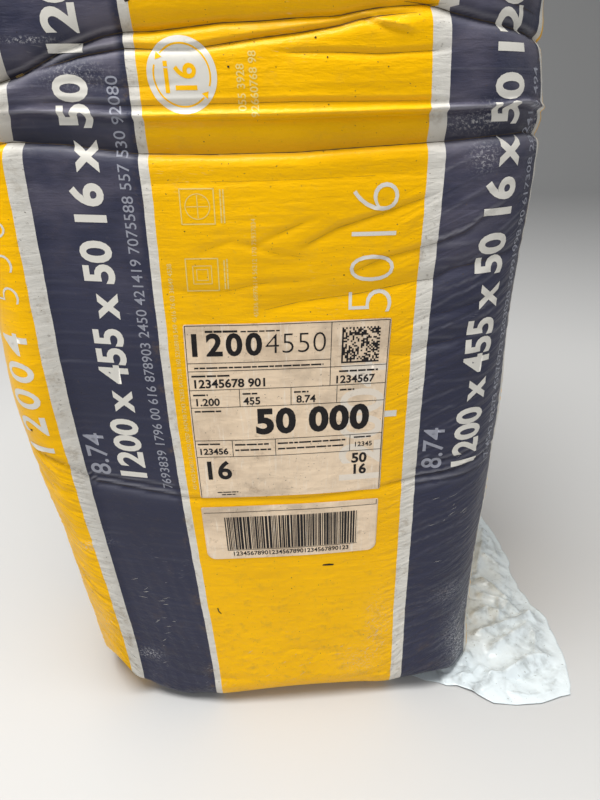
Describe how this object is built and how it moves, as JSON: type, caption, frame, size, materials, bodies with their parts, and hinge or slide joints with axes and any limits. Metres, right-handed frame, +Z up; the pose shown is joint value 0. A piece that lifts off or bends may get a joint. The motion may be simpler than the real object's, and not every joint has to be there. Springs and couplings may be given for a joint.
{
  "type": "wrapped pack of glass wool cavity batts",
  "caption": "Tall film-wrapped pack of pressed glass wool cavity batts standing on its end, in a yellow bag with dark blue and white stripes, with two labels and a loose film tail at the foot.",
  "frame": {"origin": "middle of the pack's depth and of its full width, on the floor under its foot", "axes": "+Z up along the batts' length, -Y out of the labelled front, +X to the labelled front's right"},
  "size_m": [0.6228, 0.4204, 1.203],
  "materials": {
    "glass_wool": "matt fibrous",
    "printed_film": "glossy film",
    "film_inner_side": "satin film",
    "label_paper": "satin label"
  },
  "bodies": {
    "root": {"batt_01": "glass_wool", "batt_02": "glass_wool", "batt_03": "glass_wool", "batt_04": "glass_wool", "batt_05": "glass_wool", "batt_06": "glass_wool", "batt_07": "glass_wool", "batt_08": "glass_wool", "batt_09": "glass_wool", "batt_10": "glass_wool", "batt_11": "glass_wool", "batt_12": "glass_wool", "batt_13": "glass_wool", "batt_14": "glass_wool", "batt_15": "glass_wool", "batt_16": "glass_wool", "film_bag": "printed_film", "film_tail": "film_inner_side", "product_label": "label_paper", "barcode_label": "label_paper"}
  },
  "joints": []
}
